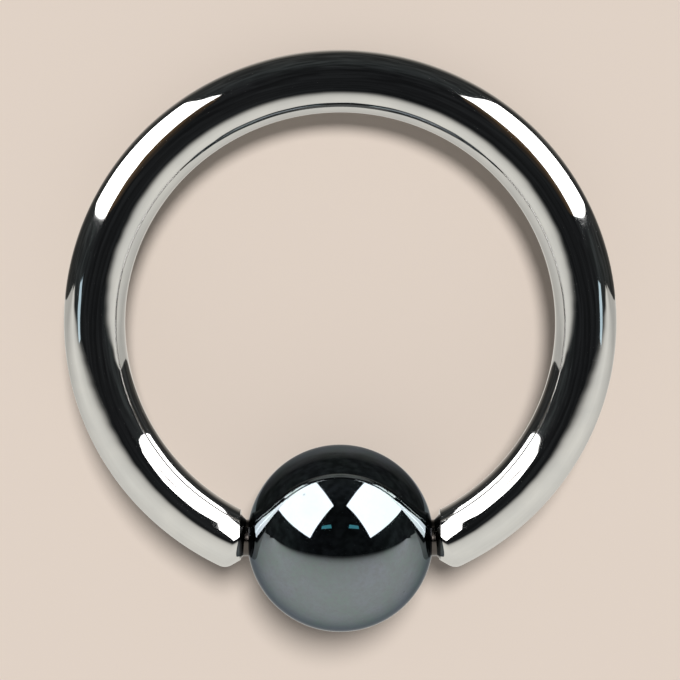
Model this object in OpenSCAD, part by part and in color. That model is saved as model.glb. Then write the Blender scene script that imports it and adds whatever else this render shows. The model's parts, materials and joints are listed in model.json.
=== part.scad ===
// Captive bead ring: a hoop of round wire whose two ends hold a dimpled bead.
// The ring lies on its side. The bead touches the table at -Y, and the wire
// opposite the bead touches it at +Y. Millimetres, +Z up, table at z = 0.

/* [Hoop] */
// Diameter of the round wire
wire_d = 1.6; // [1.2:0.1:1.8]
// Inside diameter of the hoop
hoop_inner_d = 11.3; // [10:0.1:14]

/* [Bead] */
// Diameter of the bead
bead_d = 5.0; // [4:0.1:6]
// Depth of each dimple, measured from the bead's pole
dimple_depth = 0.4; // [0.3:0.02:0.5]

/* [Wire ends] */
// Distance along the bead's axis from the bead's pole to each end face of the wire
face_gap = 0.165; // [0.15:0.005:0.25]
// How far the bead's axis lies inside the wire's centre line at the end faces
seat_inset = 0.13; // [0.1:0.01:0.16]
// Distance along the bead's axis from an end face to the start of its shoulder
shoulder_len = 0.23; // [0.22:0.01:0.27]
// Radius that rounds the wire's surface into its shoulder
shoulder_round = 0.35; // [0.25:0.01:0.4]
// Angle between the wire's surface and its shoulder
shoulder_angle = 55; // [45:1:60]
// Step in radius from the wire's surface to the collar ground on each end face
collar_step = 0.2; // [0.18:0.01:0.26]
// Rim of the end face left between the collar and the shoulder
collar_rim = 0.03; // [0.02:0.005:0.05]
// Step in radius from the collar to the tip in front of it
tip_step = 0.11; // [0.08:0.01:0.14]
// Bevel round the free end of each tip, and round the floor of its dimple
tip_bevel = 0.1; // [0.06:0.01:0.14]
// Clearance between each tip and its dimple, at the side and at the end
tip_clearance = 0.04; // [0.02:0.005:0.08]

/* [Hidden] */
$fn = 96;

wire_r = wire_d / 2;
bead_r = bead_d / 2;
hoop_r = hoop_inner_d / 2 + wire_r;

// The end faces stand square to the bead's axis, with the bead between them
face_x = bead_r + face_gap;
bead_y = seat_inset - sqrt(hoop_r * hoop_r - face_x * face_x);
shoulder_x = face_x + shoulder_len;
shoulder_turn = asin(shoulder_x / hoop_r);

// How far below the bead's axis the shoulder meets the end face
shoulder_fall = shoulder_turn - shoulder_angle;
shoulder_reach = (hoop_r + wire_r - shoulder_round) * cos(shoulder_angle) + shoulder_round;
face_low = (shoulder_reach - face_x * sin(shoulder_fall)) / cos(shoulder_fall) + bead_y;

// The collar sits on the end face, just inside the shoulder. It narrows at
// 45 degrees, and its narrow end is inside the tip
collar_r = wire_r - collar_step;
collar_len = collar_r * 2 / 3;
collar_y = bead_y + collar_r + collar_rim - face_low;

// The tip is a peg on the bead's axis that ends just short of the dimple's floor
tip_r = collar_r - tip_step;
floor_x = bead_r - dimple_depth;

// The hoop leans on the bead, which is thicker than the wire
lean = asin((bead_r - wire_r) / (hoop_r - bead_y));
centre_z = wire_r + hoop_r * sin(lean);
front_y = bead_y * cos(lean) - bead_r;
back_y = hoop_r * cos(lean) + wire_r;
centre_y = -(front_y + back_y) / 2;

// How far a cutting shape runs past what it cuts
over = wire_r;
// How deep the collar and the tip are rooted in the wire
root = 0.03;
// Steps that round each shoulder
SHOULDER_STEPS = 3;

// Lays the hoop, drawn flat about its own centre, down on the table
module laid_down() {
    translate([0, centre_y, centre_z])
        rotate([-lean, 0, 0])
            children();
}

// Radius and length of the rounded shoulder where it has turned by angle a
function shoulder_point(a) = [
    wire_r - shoulder_round * (1 - cos(a)),
    shoulder_round * sin(a)
];

// What is ground off round a straight end to leave its shoulder, as a half outline
module shoulder_waste() {
    turn = shoulder_angle / SHOULDER_STEPS;
    edge = shoulder_point(shoulder_angle);
    apex = edge[1] + edge[0] / tan(shoulder_angle);
    start = [wire_r + over * tan(turn / 2), -over];
    polygon(concat(
        [for (i = [0:SHOULDER_STEPS]) shoulder_point(i * turn)],
        [[0, apex], [0, apex + over], [wire_r + over, apex + over], [wire_r + over, -over], start]
    ));
}

// Cutter for the shoulder of the +X end
module shoulder_cutter() {
    translate([shoulder_x, -hoop_r * cos(shoulder_turn), 0])
        rotate([0, 0, 180 + shoulder_turn])
            rotate([0, 90, 0])
                rotate_extrude()
                    shoulder_waste();
}

// Half outline of a peg along the +Y axis, with a bevelled free end at y_end
module peg_outline(r, y_end, y_root) {
    polygon([[0, y_end], [r - tip_bevel, y_end], [r, y_end + tip_bevel], [r, y_root], [0, y_root]]);
}

// Collar and tip that stand out of the +X end face towards the bead
module tip() {
    translate([face_x + root, collar_y, 0])
        rotate([0, -90, 0])
            cylinder(h = root + collar_len, r1 = collar_r + root, r2 = collar_r - collar_len);
    translate([0, bead_y, 0])
        rotate([0, 0, -90])
            rotate([-90, 0, 0])
                rotate_extrude()
                    peg_outline(tip_r, floor_x + tip_clearance, face_x + root);
}

// One solid: the bent wire, ground at both ends, with a tip on each end face
module ring() {
    color("gainsboro")
        laid_down() {
            difference() {
                rotate_extrude()
                    translate([hoop_r, 0])
                        circle(r = wire_r);
                translate([-face_x, -hoop_r - wire_d, -wire_d])
                    cube([2 * face_x, hoop_r, 2 * wire_d]);
                shoulder_cutter();
                mirror([1, 0, 0])
                    shoulder_cutter();
            }
            tip();
            mirror([1, 0, 0])
                tip();
        }
}

// Half outline of the bead: half a disc, less the peg that each dimple is cut for
module bead_outline() {
    difference() {
        intersection() {
            circle(r = bead_r);
            translate([0, -bead_r])
                square([bead_r, bead_d]);
        }
        for (side = [0, 1])
            mirror([0, side])
                peg_outline(tip_r + tip_clearance, floor_x, bead_r + over);
    }
}

// Ball with a dimple at each end of the axis by which the tips hold it
module bead() {
    color("dimgray")
        laid_down()
            translate([0, bead_y, 0])
                rotate([0, 90, 0])
                    rotate_extrude()
                        bead_outline();
}

ring();
bead();
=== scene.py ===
# Captive bead ring: a polished steel hoop whose two ends hold a dimpled dark bead
import json
import math

import bmesh
import bpy
from mathutils import Matrix, Vector


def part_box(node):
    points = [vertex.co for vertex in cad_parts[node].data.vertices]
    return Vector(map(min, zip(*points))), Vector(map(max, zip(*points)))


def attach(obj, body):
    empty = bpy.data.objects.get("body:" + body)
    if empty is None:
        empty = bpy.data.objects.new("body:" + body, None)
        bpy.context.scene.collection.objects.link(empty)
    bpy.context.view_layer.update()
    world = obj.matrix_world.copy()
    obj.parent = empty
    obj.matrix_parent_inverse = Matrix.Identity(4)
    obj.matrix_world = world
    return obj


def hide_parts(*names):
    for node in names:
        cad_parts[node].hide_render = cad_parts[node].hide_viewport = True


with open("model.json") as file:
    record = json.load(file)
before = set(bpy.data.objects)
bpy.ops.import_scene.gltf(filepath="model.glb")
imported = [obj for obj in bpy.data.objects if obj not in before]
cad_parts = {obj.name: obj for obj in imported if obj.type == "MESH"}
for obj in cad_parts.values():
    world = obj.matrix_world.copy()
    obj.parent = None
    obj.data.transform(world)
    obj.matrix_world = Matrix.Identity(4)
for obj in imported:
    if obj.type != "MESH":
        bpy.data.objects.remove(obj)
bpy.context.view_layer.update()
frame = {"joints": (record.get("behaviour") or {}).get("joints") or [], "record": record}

# The hoop. One piece of round surgical steel wire, wound round a mandrel and polished all
# over. It is drawn flat in millimetres about its own centre, and then laid down leaning on
# the bead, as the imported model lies.
MM = 0.001
SMOOTH_ANGLE = math.radians(25)
worn_at = frame["record"]["mounts"][0]
bead_joint = frame["joints"][0]
wire_r = worn_at["dims"]["r_mm"]
hoop_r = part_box("ring")[1].x / MM - wire_r
far_centre = Vector(worn_at["pos_m"])
bead_centre = Vector(bead_joint["pos_m"])
across = far_centre - bead_centre
bead_y = hoop_r - across.length / MM
lean = -math.asin(across.z / across.length)
hoop_centre = far_centre - across.normalized() * hoop_r * MM
laid_down = (
    Matrix.Translation(hoop_centre)
    @ Matrix.Rotation(-lean, 4, "X")
    @ Matrix.Scale(MM, 4)
)


def take_alone(piece):
    """Selects one piece and nothing else."""
    bpy.ops.object.select_all(action="DESELECT")
    piece.select_set(True)
    bpy.context.view_layer.objects.active = piece


def apply_modifier(piece, kind, **settings):
    """Adds a modifier with these settings and applies it at once."""
    take_alone(piece)
    modifier = piece.modifiers.new(kind.lower(), kind)
    for setting, value in settings.items():
        setattr(modifier, setting, value)
    bpy.ops.object.modifier_apply(modifier=modifier.name)


def lay_down(piece):
    """Brings a piece from its flat drawing to its place on the table, and smooths it."""
    take_alone(piece)
    bpy.ops.object.mode_set(mode="EDIT")
    bpy.ops.mesh.select_all(action="SELECT")
    bpy.ops.mesh.normals_make_consistent(inside=False)
    bpy.ops.object.mode_set(mode="OBJECT")
    piece.matrix_world = laid_down
    bpy.ops.object.transform_apply(location=True, rotation=True, scale=True)
    bpy.ops.object.shade_smooth_by_angle(angle=SMOOTH_ANGLE)


# Half of the hoop: the wire's round section is spun from the far side to the shoulder
WIRE_SIDES = 96
HALF_HOOP_STEPS = 150
FACE_GAP = 0.165
SHOULDER_LEN = 0.23
bead_low, bead_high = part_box("bead")
bead_r = (bead_high.z - bead_low.z) / MM / 2
face_x = bead_r + FACE_GAP
shoulder_x = face_x + SHOULDER_LEN
shoulder_turn = math.asin(shoulder_x / hoop_r)
bpy.ops.object.select_all(action="DESELECT")
bpy.ops.mesh.primitive_circle_add(
    vertices=WIRE_SIDES, radius=wire_r, location=(0, hoop_r, 0), rotation=(0, math.pi / 2, 0)
)
wire = bpy.context.object
wire.name = "wire_hoop"
bpy.ops.object.transform_apply(location=True, rotation=True, scale=True)
bpy.ops.object.mode_set(mode="EDIT")
bpy.ops.mesh.select_all(action="SELECT")
bpy.ops.mesh.spin(
    steps=HALF_HOOP_STEPS, angle=math.pi - shoulder_turn, center=(0, 0, 0), axis=(0, 0, 1)
)

# The shoulder: the wire's end is turned round its own axis, to a rounded and then straight taper
SHOULDER_STEPS = 12
SHOULDER_ROUND = 0.35
SHOULDER_ANGLE = math.radians(55)
SHOULDER_STOP_R = 0.15
stub_start = Vector((math.sin(shoulder_turn), -math.cos(shoulder_turn), 0)) * hoop_r
stub_axis = Vector((-math.cos(shoulder_turn), -math.sin(shoulder_turn), 0))
shoulder = []
for step in range(1, SHOULDER_STEPS + 1):
    turned = SHOULDER_ANGLE * step / SHOULDER_STEPS
    radius = wire_r - SHOULDER_ROUND * (1 - math.cos(turned))
    shoulder.append((SHOULDER_ROUND * math.sin(turned), radius))
taper_len = (shoulder[-1][1] - SHOULDER_STOP_R) / math.tan(SHOULDER_ANGLE)
shoulder.append((shoulder[-1][0] + taper_len, SHOULDER_STOP_R))
length, radius = 0.0, wire_r
for next_length, next_radius in shoulder:
    push = stub_axis * (next_length - length)
    bpy.ops.mesh.extrude_region_move(TRANSFORM_OT_translate={"value": push})
    bpy.ops.transform.resize(
        value=(next_radius / radius,) * 3, center_override=stub_start + stub_axis * next_length
    )
    length, radius = next_length, next_radius

# The end face: the stub is faced off square to the bead's axis
CUT_TOLERANCE = 1e-5
bpy.ops.mesh.select_all(action="DESELECT")
drawing = bmesh.from_edit_mesh(wire.data)
for face in drawing.faces:
    face.select = face.calc_center_median().y < 0
bmesh.update_edit_mesh(wire.data)
bpy.ops.mesh.bisect(
    plane_co=(face_x, 0, 0),
    plane_no=(1, 0, 0),
    use_fill=True,
    clear_inner=True,
    threshold=CUT_TOLERANCE,
)
bpy.ops.object.mode_set(mode="OBJECT")

# The collar: a short 45 degree step down from the end face, set off from the face's outer edge
# by its rim. ROOT is how far the collar and the tip reach into the wire behind the face.
PEG_SIDES = 96
ROOT = 0.03
COLLAR_STEP = 0.2
COLLAR_RIM = 0.03
collar_r = wire_r - COLLAR_STEP
collar_len = collar_r * 2 / 3
collar_depth = collar_len + ROOT
shoulder_fall = shoulder_turn - SHOULDER_ANGLE
shoulder_reach = (hoop_r + wire_r - SHOULDER_ROUND) * math.cos(SHOULDER_ANGLE) + SHOULDER_ROUND
face_low = bead_y + (shoulder_reach - face_x * math.sin(shoulder_fall)) / math.cos(shoulder_fall)
collar_y = bead_y + collar_r + COLLAR_RIM - face_low
bpy.ops.object.select_all(action="DESELECT")
bpy.ops.mesh.primitive_cone_add(
    vertices=PEG_SIDES,
    radius1=collar_r + ROOT,
    radius2=collar_r - collar_len,
    depth=collar_depth,
    location=(face_x + ROOT - collar_depth / 2, collar_y, 0),
    rotation=(0, -math.pi / 2, 0),
)
collar = bpy.context.object
bpy.ops.object.transform_apply(location=True, rotation=True, scale=True)

# The tip: a peg with a bevelled end, which stands in front of the collar, in the bead's dimple
TIP_STEP = 0.11
TIP_BEVEL = 0.1
TIP_BEVEL_STEPS = 4
TIP_CLEARANCE = 0.04
DIMPLE_DEPTH = 0.4
tip_r = collar_r - TIP_STEP
floor_x = bead_r - DIMPLE_DEPTH
tip_end = floor_x + TIP_CLEARANCE
bpy.ops.object.select_all(action="DESELECT")
bpy.ops.mesh.primitive_cylinder_add(
    vertices=PEG_SIDES,
    radius=tip_r,
    depth=face_x + ROOT - tip_end,
    location=((face_x + ROOT + tip_end) / 2, bead_y, 0),
    rotation=(0, -math.pi / 2, 0),
)
tip = bpy.context.object
bpy.ops.object.transform_apply(location=True, rotation=True, scale=True)
bpy.ops.object.mode_set(mode="EDIT")
bpy.ops.mesh.select_all(action="DESELECT")
drawing = bmesh.from_edit_mesh(tip.data)
for edge in drawing.edges:
    edge.select = all(corner.co.x < tip_end + TIP_BEVEL / 2 for corner in edge.verts)
bmesh.update_edit_mesh(tip.data)
bpy.ops.mesh.bevel(offset=TIP_BEVEL, segments=TIP_BEVEL_STEPS)
bpy.ops.object.mode_set(mode="OBJECT")

# The collar and the tip are joined to the wire. The other half is the first one's mirror image,
# welded to it at the far side.
WELD_DISTANCE = 1e-4
for part in (collar, tip):
    apply_modifier(wire, "BOOLEAN", operation="UNION", solver="EXACT", object=part)
    bpy.data.objects.remove(part)
apply_modifier(
    wire, "MIRROR", use_axis=(True, False, False), use_clip=True, merge_threshold=WELD_DISTANCE
)
lay_down(wire)


def set_sockets(tree, node, sockets):
    """Sets a node's input sockets, or links those that are given another node's output."""
    for socket, value in sockets.items():
        if isinstance(value, bpy.types.NodeSocket):
            tree.links.new(value, node.inputs[socket])
        else:
            node.inputs[socket].default_value = value


def add_node(tree, kind, sockets=None, **settings):
    """Adds a shader node with its settings and sockets."""
    node = tree.nodes.new("ShaderNode" + kind)
    for setting, value in settings.items():
        setattr(node, setting, value)
    set_sockets(tree, node, sockets or {})
    return node


def calculate(tree, operation, *values):
    """Adds one Math node that works on these values, and returns its result."""
    return add_node(tree, "Math", dict(enumerate(values)), operation=operation).outputs[0]


def remap(tree, value, low=0.0, high=1.0, to_low=0.0, to_high=1.0):
    """Turns a value from low to high into one from to_low to to_high, and goes no further."""
    return add_node(
        tree, "MapRange", {0: value, 1: low, 2: high, 3: to_low, 4: to_high}
    ).outputs[0]


def mix_colours(tree, share, first, second):
    """Mixes two colours, from all first at 0 to all second at 1."""
    return add_node(tree, "Mix", {0: share, 6: first, 7: second}, data_type="RGBA").outputs[2]


def noise(tree, vector, scale, detail, roughness=0.5):
    """Adds a cloudy pattern, and returns its value."""
    return add_node(
        tree, "TexNoise", {"Vector": vector, "Scale": scale, "Detail": detail, "Roughness": roughness}
    ).outputs[0]


def start_group(name, inputs, output):
    """Starts a shader node group with named inputs and one named output, both as (kind, name)."""
    group = bpy.data.node_groups.new(name, "ShaderNodeTree")
    for kind, title in inputs:
        group.interface.new_socket(title, in_out="INPUT", socket_type="NodeSocket" + kind)
    group.interface.new_socket(output[1], in_out="OUTPUT", socket_type="NodeSocket" + output[0])
    return group, group.nodes.new("NodeGroupInput").outputs, group.nodes.new("NodeGroupOutput").inputs


# Hairlines: fine scratches that polishing and wear leave, long one way and thin the other.
# Length and Width are in the coordinates' own unit, and Amount is how much of the surface has them.
FEW_LINES_FROM = 0.78
MANY_LINES_FROM = 0.5
LINE_FADE = 0.06
hairlines, given, result = start_group(
    "hairlines",
    [("Vector", "Vector"), ("Float", "Length"), ("Float", "Width"), ("Float", "Amount")],
    ("Float", "Mask"),
)
along = calculate(hairlines, "DIVIDE", 1.0, given["Length"])
wide = calculate(hairlines, "DIVIDE", 1.0, given["Width"])
stretch = add_node(hairlines, "CombineXYZ", {"X": along, "Y": wide, "Z": wide}).outputs[0]
drawn = add_node(
    hairlines, "VectorMath", {0: given["Vector"], 1: stretch}, operation="MULTIPLY"
).outputs[0]
streaks = noise(hairlines, drawn, scale=1.0, detail=2.0, roughness=0.6)
edge = remap(hairlines, given["Amount"], to_low=FEW_LINES_FROM, to_high=MANY_LINES_FROM)
edge_end = calculate(hairlines, "ADD", edge, LINE_FADE)
mask = remap(hairlines, streaks, low=edge, high=edge_end)
hairlines.links.new(mask, result["Mask"])

# Handling film: the faint uneven dullness that fingers and cloths leave on polished metal or stone
film, given, result = start_group(
    "handling film",
    [("Vector", "Vector"), ("Float", "Patch Size"), ("Float", "Clean"), ("Float", "Dull")],
    ("Float", "Roughness"),
)
patches = calculate(film, "DIVIDE", 1.0, given["Patch Size"])
cloud = noise(film, given["Vector"], scale=patches, detail=5.0, roughness=0.65)
dullness = remap(
    film, cloud, low=0.35, high=0.75, to_low=given["Clean"], to_high=given["Dull"]
)
film.links.new(dullness, result["Roughness"])

# Pinpricks: sparse tiny pits and specks, each of its own size up to Size
pinpricks, given, result = start_group(
    "pinpricks",
    [("Vector", "Vector"), ("Float", "Spacing"), ("Float", "Size")],
    ("Float", "Mask"),
)
cells = calculate(pinpricks, "DIVIDE", 1.0, given["Spacing"])
scatter = add_node(
    pinpricks, "TexVoronoi", {"Vector": given["Vector"], "Scale": cells, "Randomness": 1.0}
).outputs
largest = calculate(pinpricks, "DIVIDE", given["Size"], given["Spacing"])
pick = add_node(pinpricks, "SeparateColor", {0: scatter["Color"]}).outputs[0]
own_size = calculate(pinpricks, "MULTIPLY", largest, pick)
speck = remap(pinpricks, scatter["Distance"], low=own_size, high=0.0)
pinpricks.links.new(speck, result["Mask"])


def use_group(tree, group, sockets):
    """Places a node group in a material with its own values, and returns its output."""
    return add_node(tree, "Group", sockets, node_tree=group).outputs[0]


def start_material(name, sockets):
    """Starts a material with one Principled shader and its plain socket values."""
    material = bpy.data.materials.new(name)
    material.use_nodes = True
    set_sockets(material.node_tree, material.node_tree.nodes["Principled BSDF"], sockets)
    return material, material.node_tree


def finish_material(piece, material, colour, roughness, height):
    """Links a material's colour, roughness and height in millimetres, and puts it on a piece."""
    tree = material.node_tree
    bump = add_node(tree, "Bump", {"Height": height, "Distance": MM, "Strength": 1.0}).outputs[0]
    painted = {"Base Color": colour, "Roughness": roughness, "Normal": bump}
    set_sockets(tree, tree.nodes["Principled BSDF"], painted)
    piece.data.materials.clear()
    piece.data.materials.append(material)


# Polished surgical steel: a bright slightly warm mirror, with hairlines along and round the wire,
# a few pits, a thin handling film, and the faint waves that winding and polishing leave
STEEL_DARK = (0.66, 0.655, 0.645, 1.0)
STEEL_LIGHT = (0.72, 0.71, 0.69, 1.0)
PIT_DIRT = (0.16, 0.15, 0.14, 1.0)
SCUFF_DULLNESS = 0.03
SCUFF_DEPTH = 0.0002
STEEL_WAVE_HEIGHT = 0.012
steel, tree = start_material("polished_steel", {"Metallic": 1.0})
place = add_node(tree, "TexCoord").outputs["Object"]
flat = add_node(
    tree,
    "Mapping",
    {"Vector": place, "Location": hoop_centre, "Rotation": (-lean, 0, 0), "Scale": (MM, MM, MM)},
    vector_type="TEXTURE",
).outputs[0]
flat_xyz = add_node(tree, "SeparateXYZ", {0: flat}).outputs
turn = calculate(tree, "ARCTAN2", flat_xyz["X"], flat_xyz["Y"])
along_wire = calculate(tree, "MULTIPLY", turn, hoop_r)
flat_xy = add_node(tree, "CombineXYZ", {"X": flat_xyz["X"], "Y": flat_xyz["Y"]}).outputs[0]
out_from_hoop = add_node(tree, "VectorMath", {0: flat_xy}, operation="LENGTH").outputs["Value"]
out_from_wire = calculate(tree, "SUBTRACT", out_from_hoop, hoop_r)
roll = calculate(tree, "ARCTAN2", out_from_wire, flat_xyz["Z"])
round_wire = calculate(tree, "MULTIPLY", roll, wire_r)
on_wire = add_node(tree, "CombineXYZ", {"X": along_wire, "Y": round_wire}).outputs[0]
lines_along = use_group(
    tree, hairlines, {"Vector": on_wire, "Length": 2.2, "Width": 0.012, "Amount": 0.25}
)
wire_turned = add_node(tree, "CombineXYZ", {"X": round_wire, "Y": along_wire}).outputs[0]
lines_round = use_group(
    tree, hairlines, {"Vector": wire_turned, "Length": 0.7, "Width": 0.009, "Amount": 0.2}
)
pits = use_group(tree, pinpricks, {"Vector": flat, "Spacing": 0.55, "Size": 0.02})
smudges = use_group(tree, film, {"Vector": flat, "Patch Size": 1.6, "Clean": 0.025, "Dull": 0.075})
tone = remap(tree, noise(tree, flat, scale=0.9, detail=3.0), low=0.35, high=0.65)
toned = mix_colours(tree, tone, STEEL_DARK, STEEL_LIGHT)
pitted = mix_colours(tree, pits, toned, PIT_DIRT)
scuffed = calculate(tree, "MAXIMUM", lines_along, lines_round)
scuffed_roughness = calculate(tree, "MULTIPLY_ADD", scuffed, SCUFF_DULLNESS, smudges)
scuff_height = calculate(tree, "MULTIPLY", scuffed, -SCUFF_DEPTH)
waves = noise(tree, flat, scale=1.1, detail=1.0, roughness=0.4)
height = calculate(tree, "MULTIPLY_ADD", waves, STEEL_WAVE_HEIGHT, scuff_height)

# The end faces and the tips are left as they were ground, duller than the polish. Their colour is
# also painted dark, as painted shade for the recess between the wire's end and the bead.
GROUND_STEEL_AND_SHADE = (0.1, 0.088, 0.08, 1.0)
GROUND_ROUGHNESS = 0.16
GROUND_BEHIND_FACE = 0.03
GROUND_BEFORE_FACE = 0.02
off_middle = calculate(tree, "ABSOLUTE", flat_xyz["X"])
between_ends = remap(
    tree, off_middle, low=face_x + GROUND_BEHIND_FACE, high=face_x - GROUND_BEFORE_FACE
)
bead_side = calculate(tree, "LESS_THAN", flat_xyz["Y"], 0.0)
ground_and_shade = calculate(tree, "MULTIPLY", between_ends, bead_side)
# Painted shade: the ends by the bead get a near-black colour that stands for the shade in that recess
steel_colour = mix_colours(tree, ground_and_shade, pitted, GROUND_STEEL_AND_SHADE)
steel_roughness = remap(tree, ground_and_shade, to_low=scuffed_roughness, to_high=GROUND_ROUGHNESS)
finish_material(wire, steel, steel_colour, steel_roughness, height)
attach(wire, "ring")
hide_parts("ring")

# The bead. A ball of hematite, ground round and polished, with a dimple drilled at each end
# of the axis by which the hoop's tips hold it. It turns freely between them.
BEAD_SEGMENTS = 160
BEAD_RINGS = 96
bpy.ops.object.select_all(action="DESELECT")
bpy.ops.mesh.primitive_uv_sphere_add(
    segments=BEAD_SEGMENTS,
    ring_count=BEAD_RINGS,
    radius=bead_r,
    location=(0, bead_y, 0),
    rotation=(0, math.pi / 2, 0),
)
bead = bpy.context.object
bead.name = "dimpled_bead"
bpy.ops.object.transform_apply(location=True, rotation=True, scale=True)
bpy.ops.object.mode_set(mode="EDIT")

# Each dimple: the pole is cut off flat at its mouth, and the cut face, the only one with more
# than four corners, is pushed in with a bevel
DIMPLE_RIM = 0.02
FOUR_CORNERS = 4
dimple_r = tip_r + TIP_CLEARANCE
mouth_r = dimple_r + DIMPLE_RIM
mouth_x = math.sqrt(bead_r**2 - mouth_r**2)
dimple_steps = (
    (mouth_x - DIMPLE_RIM, dimple_r),
    (floor_x + TIP_BEVEL, dimple_r),
    (floor_x, dimple_r - TIP_BEVEL),
)
for side in (1, -1):
    bpy.ops.mesh.select_all(action="SELECT")
    bpy.ops.mesh.bisect(
        plane_co=(side * mouth_x, 0, 0),
        plane_no=(side, 0, 0),
        use_fill=True,
        clear_outer=True,
        threshold=CUT_TOLERANCE,
    )
    bpy.ops.mesh.select_all(action="DESELECT")
    drawing = bmesh.from_edit_mesh(bead.data)
    for face in drawing.faces:
        face.select = len(face.verts) > FOUR_CORNERS and face.calc_center_median().x * side > 0
    bmesh.update_edit_mesh(bead.data)
    depth_x, radius = mouth_x, mouth_r
    for next_x, next_r in dimple_steps:
        bpy.ops.mesh.extrude_region_move(
            TRANSFORM_OT_translate={"value": (side * (next_x - depth_x), 0, 0)}
        )
        bpy.ops.transform.resize(
            value=(1, next_r / radius, next_r / radius), center_override=(0, bead_y, 0)
        )
        depth_x, radius = next_x, next_r
bpy.ops.object.mode_set(mode="OBJECT")
lay_down(bead)

# Polished hematite: a dark blue-grey half-metallic mirror, clouded by its grain, with specks,
# hairlines, a thin handling film and faint waves
STONE_EDGE_TINT = (0.35, 0.37, 0.4, 1.0)
STONE_GREEN = (0.208, 0.256, 0.25, 1.0)
STONE_BLUE = (0.236, 0.256, 0.296, 1.0)
STONE_GRAIN = (0.215, 0.232, 0.25, 1.0)
STONE_SPECK = (0.13, 0.14, 0.15, 1.0)
LINE_DULLNESS = 0.05
LINE_DEPTH = 0.0004
STONE_WAVE_HEIGHT = 0.006
stone, tree = start_material(
    "polished_hematite", {"Metallic": 1.0, "Specular Tint": STONE_EDGE_TINT}
)
place = add_node(tree, "TexCoord").outputs["Object"]
centred = add_node(
    tree,
    "Mapping",
    {"Vector": place, "Location": bead_centre, "Scale": (MM, MM, MM)},
    vector_type="TEXTURE",
).outputs[0]
clouds = noise(tree, centred, scale=1.1, detail=6.0, roughness=0.6)
cloudy = remap(tree, clouds, low=0.35, high=0.65)
clouded = mix_colours(tree, cloudy, STONE_GREEN, STONE_BLUE)
grain = noise(tree, centred, scale=9.0, detail=4.0, roughness=0.7)
grainy = remap(tree, grain, low=0.4, high=0.7)
grained = mix_colours(tree, grainy, clouded, STONE_GRAIN)
specks = use_group(tree, pinpricks, {"Vector": centred, "Spacing": 0.45, "Size": 0.06})
specked = mix_colours(tree, specks, grained, STONE_SPECK)
smudges = use_group(
    tree, film, {"Vector": centred, "Patch Size": 1.3, "Clean": 0.02, "Dull": 0.06}
)
lines = use_group(
    tree, hairlines, {"Vector": centred, "Length": 1.4, "Width": 0.012, "Amount": 0.15}
)
lined_roughness = calculate(tree, "MULTIPLY_ADD", lines, LINE_DULLNESS, smudges)
line_height = calculate(tree, "MULTIPLY", lines, -LINE_DEPTH)
waves = noise(tree, centred, scale=0.8, detail=1.0)
height = calculate(tree, "MULTIPLY_ADD", waves, STONE_WAVE_HEIGHT, line_height)
finish_material(bead, stone, specked, lined_roughness, height)
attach(bead, "bead")
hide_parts("bead")

# The floor. One plain pale sheet under the ring. Mirrors don't see it: they see the cards below.
FLOOR_SIZE = 6.0
PALE = (0.73, 0.63, 0.55, 1.0)
bpy.ops.object.select_all(action="DESELECT")
bpy.ops.mesh.primitive_plane_add(size=FLOOR_SIZE)
floor = bpy.context.object
floor.name = "floor"
paper = start_material(
    "pale_paper", {"Base Color": PALE, "Roughness": 0.9, "Specular IOR Level": 0.0}
)[0]
floor.data.materials.append(paper)
floor.visible_glossy = False

# The camera. It looks down on the lying hoop from its far side, at the angle of the picture.
# The picture's own axes are x to the right, y up and z to the camera, from the hoop's centre.
VIEW_TILT = math.radians(19.25)
CAMERA_DISTANCE = 55.8
SENSOR_WIDTH = 36.0
PICTURE_SIZE = 680
FOCAL_PX = 2124
CENTRE_PX = (340.2, 327.5)
picture = (
    Matrix.Translation(hoop_centre)
    @ Matrix.Rotation(-VIEW_TILT, 4, "X")
    @ Matrix.Scale(MM, 4)
)
lens = bpy.data.cameras.new("camera")
lens.sensor_width = SENSOR_WIDTH
lens.lens = SENSOR_WIDTH * FOCAL_PX / PICTURE_SIZE
lens.shift_x = (PICTURE_SIZE / 2 - CENTRE_PX[0]) / PICTURE_SIZE
lens.shift_y = (CENTRE_PX[1] - PICTURE_SIZE / 2) / PICTURE_SIZE
lens.clip_start = MM
camera = bpy.data.objects.new("camera", lens)
camera.location = picture @ Vector((0, 0, CAMERA_DISTANCE))
camera.rotation_euler = (-VIEW_TILT, 0, 0)
bpy.context.collection.objects.link(camera)
bpy.context.scene.camera = camera
bpy.context.scene.view_settings.view_transform = "Standard"

# The studio, in millimetres on the picture's axes. Only mirrors see its cards. Two white boxes
# stand above the picture to its left and right, a lit table runs below it, and the rest of the
# room is dark. A ray's depth is 1 at its first mirror and 2 at the next.
BRIGHTEST = 5.0
FRONT_Z = 100.0
BACK_Z = -100.0
ANY_DISTANCE = 1000.0
BETWEEN_MIRRORS = 1.5
MIRRORED = Vector((-1, 1, 1))


def colour_ramp(tree, share, stops):
    """Adds a colour ramp with these (share, colour) stops."""
    ramp = tree.nodes.new("ShaderNodeValToRGB")
    tree.links.new(share, ramp.inputs[0])
    for stop, (place, colour) in enumerate(stops):
        while len(ramp.color_ramp.elements) <= stop:
            ramp.color_ramp.elements.new(1.0)
        ramp.color_ramp.elements[stop].position = place
        ramp.color_ramp.elements[stop].color = (*colour, 1.0)
    return ramp.outputs[0]


def plain(colour):
    """The stops of a card of one colour."""
    return ((FRONT_Z, colour), (BACK_Z, colour))


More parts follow.
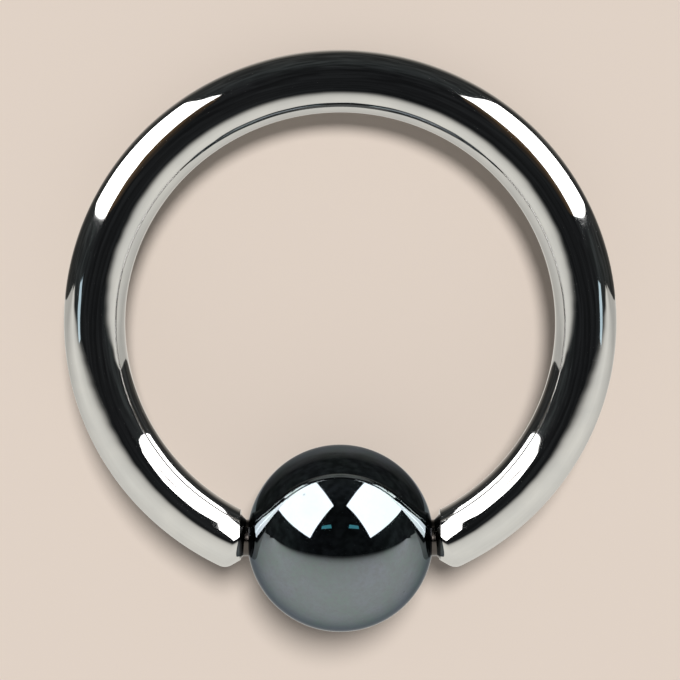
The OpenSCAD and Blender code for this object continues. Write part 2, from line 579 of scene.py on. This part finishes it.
def card(
    name, corners, stops, lights=None, close_stops=None, close=0.0, once=1.0, twice=1.0,
    reach=ANY_DISTANCE, cast=0.0,
):
    """Adds a glowing card that only mirrors see, and that hides nothing. stops are (z, colour)
    pairs, from the camera to the back, and lights is the one piece that the card is for. A mirror
    closer than close shows close_stops instead. once is how much of the card a mirror shows, and
    twice how much of it a mirror seen in another mirror shows if it is closer than reach. cast is
    how much of it the mirrors cast on the floor."""
    mesh = bpy.data.meshes.new(name)
    mesh.from_pydata(corners, [], [range(len(corners))])
    sheet = bpy.data.objects.new(name, mesh)
    sheet.matrix_world = picture
    bpy.context.collection.objects.link(sheet)
    material = bpy.data.materials.new(name)
    material.use_nodes = True
    tree = material.node_tree
    tree.nodes.clear()
    path = add_node(tree, "LightPath").outputs
    is_first = calculate(tree, "LESS_THAN", path["Ray Depth"], BETWEEN_MIRRORS)
    is_near = calculate(tree, "LESS_THAN", path["Ray Length"], close * MM)
    is_close = calculate(tree, "MULTIPLY", is_near, is_first)
    in_reach = calculate(tree, "LESS_THAN", path["Ray Length"], reach * MM)
    second = calculate(tree, "MULTIPLY", in_reach, BRIGHTEST * twice)
    mirrored = remap(tree, is_first, to_low=second, to_high=BRIGHTEST * once)
    strength = remap(tree, path["Diffuse Depth"], to_low=mirrored, to_high=BRIGHTEST * cast)
    place = add_node(tree, "TexCoord").outputs["Object"]
    depth = add_node(tree, "SeparateXYZ", {0: place}).outputs["Z"]
    colours = []
    for view in (stops, close_stops or stops):
        near, far = view[0][0], view[-1][0]
        shares = [((z - near) / (far - near), colour) for z, colour in view]
        colours.append(colour_ramp(tree, remap(tree, depth, low=near, high=far), shares))
    colour = mix_colours(tree, is_close, *colours)
    glow = add_node(tree, "Emission", {"Color": colour, "Strength": strength}).outputs[0]
    clear = add_node(tree, "BsdfTransparent").outputs[0]
    both = add_node(tree, "AddShader", {0: glow, 1: clear}).outputs[0]
    add_node(tree, "OutputMaterial", {"Surface": both})
    material.cycles.emission_sampling = "NONE"
    mesh.materials.append(material)
    sheet.visible_camera = False
    sheet.visible_diffuse = False
    sheet.visible_shadow = False
    if lights:
        lit = bpy.data.collections.new(name)
        lit.objects.link(lights)
        sheet.light_linking.receiver_collection = lit


def two_cards(name, corners, *settings, **more_settings):
    """Adds a card on the right, and its mirror image on the left."""
    card(name + "_right", corners, *settings, **more_settings)
    card(name + "_left", [corner * MIRRORED for corner in corners], *settings, **more_settings)


# The two boxes, as the bead sees them
BOX_WHITE = (0.9, 0.9, 0.9)
BOX_CORNER = Vector((32.5, 64.0, 0.2))
BOX_TO_CAMERA = Vector((-24.1, -21.9, 48.2))
BOX_TO_SIDE = Vector((21.8, -43.9, -8.2))
BEAD_TWICE = 0.25
white = plain(BOX_WHITE)


def box_part(*shares):
    """Corners on the right-hand box, each given as shares of its two sides."""
    return [
        BOX_CORNER + BOX_TO_CAMERA * to_camera + BOX_TO_SIDE * to_side
        for to_camera, to_side in shares
    ]


two_cards("bead_box", box_part((0, 0), (1, 0), (1, 1), (0, 1)), white, bead, twice=BEAD_TWICE)

# The part of each box that the hoop sees. Near the camera it has a lip, and the closer shoulder of
# the hoop sees its brown lining. BEHIND keeps it out of the plane of the bead's box.
BEHIND = Vector((1, 0, 0))
UNLIT = (0.0, 0.0, 0.0)
LIP_Z = 31.5
LIP_BROWN = (0.026, 0.0155, 0.0065)
LIP_DARK_BROWN = (0.006, 0.0036, 0.0016)
LIP_CLOSE = 51.3
HOOP_REACH = 52
with_lip = (
    (FRONT_Z, UNLIT),
    (LIP_Z + 18.0, UNLIT),
    (LIP_Z + 8.0, LIP_DARK_BROWN),
    (LIP_Z + 0.5, LIP_BROWN),
    (LIP_Z - 0.5, BOX_WHITE),
    (BACK_Z, BOX_WHITE),
)
hoop_part = box_part(
    (-0.3, 0.26), (0.72, 0.34), (1.0, 0.56), (1.1, 0.7), (1.13, 0.85), (1.03, 0.96), (-0.3, 1.03)
)
ring_box = [corner + BEHIND for corner in hoop_part]
two_cards("ring_box", ring_box, white, wire, with_lip, LIP_CLOSE, reach=HOOP_REACH)

# The rest of each box only shows where the bead mirrors the hoop
REST_REACH = 66
rest_part = box_part((0, 0), (1, 0), (1, 0.69), (0.72, 0.47), (0, 0.41))
box_rest = [corner + BEHIND for corner in rest_part]
two_cards("box_rest", box_rest, white, wire, once=0, reach=REST_REACH)

# The far end of the wire sees the box go on a little further than the rest of the hoop does. This
# small card stands close to it, on the lines from there to the box.
WIRE_END = Vector((-2.95, -5.42, -0.33))
END_LIGHT_SHARE = 0.038
END_LIGHT_CLOSE = 3
unlit = plain(UNLIT)
end_part = box_part((0.7, 0.25), (1.5, 0.62), (1.65, 1.0), (0.9, 1.15))
end_light = [WIRE_END.lerp(corner, END_LIGHT_SHARE) for corner in end_part]
two_cards("end_light", end_light, unlit, wire, white, END_LIGHT_CLOSE)

# Small lights: a blue glint on each side of the hoop, and two teal dashes in the bead
GLINT_BLUE = (0.12, 0.155, 0.175)
GLINT_CLOSE = 55
DASH_TEAL = (0.03, 0.13, 0.15)
glint_corners = ((46, -17.5, 31), (49, -17.5, 25), (54, -4, 23), (50, -5, 29), (46, -12, 32))
side_glint = [Vector(corner) for corner in glint_corners]
two_cards("glint", side_glint, unlit, wire, plain(GLINT_BLUE), GLINT_CLOSE)
dash_corners = ((17, 23, 92), (40, 22, 92), (39, 29, 92), (19, 31, 92))
bead_dash = [Vector(corner) for corner in dash_corners]
two_cards("dash", bead_dash, plain(DASH_TEAL), bead)

# Behind the hoop's top, the bead shows this brown to the hoop's inner side
BACK_BROWN = (0.09, 0.08, 0.075)
behind_top = [(-30, 60, 50), (30, 60, 50), (30, 60, -60), (-30, 60, -60)]
card("behind_top", behind_top, plain(BACK_BROWN), bead, once=0)

# The table is dark near the camera, brightest just in front of the hoop and dimmer at the back,
# where a low wall ends it
TABLE_Y = -11.9
TABLE_NEAR = 22.0
TABLE_BACK = -60.0
TABLE_HALF = 600.0
TABLE_TWICE = 0.55
TABLE_TINT = Vector((0.2, 0.197, 0.185))
WALL_TOP = 3.0
BACK_LIGHT = 0.5
table_light = [
    (z, TABLE_TINT * light)
    for z, light in (
        (TABLE_NEAR, 0.01), (19.5, 0.08), (16.5, 0.35), (13.5, 0.62), (11.0, 0.74), (7.0, 0.82),
        (3.0, 0.85), (-2.0, 0.79), (-8.0, 0.73), (-15.0, 0.67), (-30.0, 0.58),
        (TABLE_BACK, BACK_LIGHT),
    )
]
table = [
    (-TABLE_HALF, TABLE_Y, TABLE_NEAR),
    (TABLE_HALF, TABLE_Y, TABLE_NEAR),
    (TABLE_HALF, TABLE_Y, TABLE_BACK),
    (-TABLE_HALF, TABLE_Y, TABLE_BACK),
]
wall = [
    (-TABLE_HALF, TABLE_Y, TABLE_BACK),
    (TABLE_HALF, TABLE_Y, TABLE_BACK),
    (TABLE_HALF, WALL_TOP, TABLE_BACK),
    (-TABLE_HALF, WALL_TOP, TABLE_BACK),
]
card("table", table, table_light, twice=TABLE_TWICE, cast=1.0)
card("wall", wall, plain(TABLE_TINT * BACK_LIGHT))

# The floor's lamp: one broad lamp above the picture's top edge
LAMP_STRENGTH = 2.93
LAMP_SPREAD = math.radians(14)
LAMP_TILT = math.radians(-33.5)
LAMP_TURN = math.radians(-7)
lamp = bpy.data.lights.new("floor_lamp", "SUN")
lamp.energy = LAMP_STRENGTH
lamp.angle = LAMP_SPREAD
lamp_object = bpy.data.objects.new("floor_lamp", lamp)
lamp_object.rotation_euler = (LAMP_TILT, 0, LAMP_TURN)
lamp_object.visible_glossy = False
bpy.context.collection.objects.link(lamp_object)

# The dark room. Its light on the floor is soft and even. Mirrors see it smoky, darker towards
# the camera, with a glow behind the picture.
ROOM_LIGHT = (0.25, 0.25, 0.25, 1.0)
TO_CAMERA = (0, 0, 1)
TO_GLOW = (0, 0.35, -0.94)
room = bpy.data.worlds.new("room")
bpy.context.scene.world = room
room.use_nodes = True
tree = room.node_tree
tree.nodes.clear()
direction = add_node(tree, "TexCoord").outputs["Generated"]


def facing(picture_direction, stops):
    """Colours the room by how far it lies towards a direction of the picture, from -1 to 1."""
    towards = Matrix.Rotation(-VIEW_TILT, 3, "X") @ Vector(picture_direction).normalized()
    dot = add_node(tree, "VectorMath", {0: direction, 1: towards}, operation="DOT_PRODUCT")
    share = remap(tree, dot.outputs["Value"], low=-1.0, high=1.0)
    return colour_ramp(tree, share, [((cosine + 1) / 2, colour) for cosine, colour in stops])


dark_room = facing(
    TO_CAMERA,
    (
        (-1.0, (0.05, 0.046, 0.04)),
        (-0.5, (0.034, 0.035, 0.034)),
        (0.4, (0.029, 0.033, 0.034)),
        (0.8, (0.012, 0.013, 0.014)),
    ),
)
back_glow = facing(
    TO_GLOW,
    ((0.76, UNLIT), (0.9, (0.145, 0.133, 0.118)), (1.0, (0.55, 0.5, 0.45))),
)
clutter = noise(tree, direction, scale=7.0, detail=4.0)
smoke = remap(tree, clutter, low=0.4, high=0.65, to_low=0.75, to_high=1.6)
smoky_room = add_node(
    tree, "VectorMath", {0: dark_room, 3: smoke}, operation="SCALE"
).outputs[0]
mirrored_room = add_node(tree, "VectorMath", {0: smoky_room, 1: back_glow}).outputs[0]
ray = add_node(tree, "LightPath").outputs
seen_by_mirrors = mix_colours(tree, ray["Is Glossy Ray"], ROOM_LIGHT, mirrored_room)
seen = mix_colours(tree, ray["Is Camera Ray"], seen_by_mirrors, PALE)
sky = add_node(tree, "Background", {"Color": seen, "Strength": 1.0}).outputs[0]
add_node(tree, "OutputWorld", {"Surface": sky})
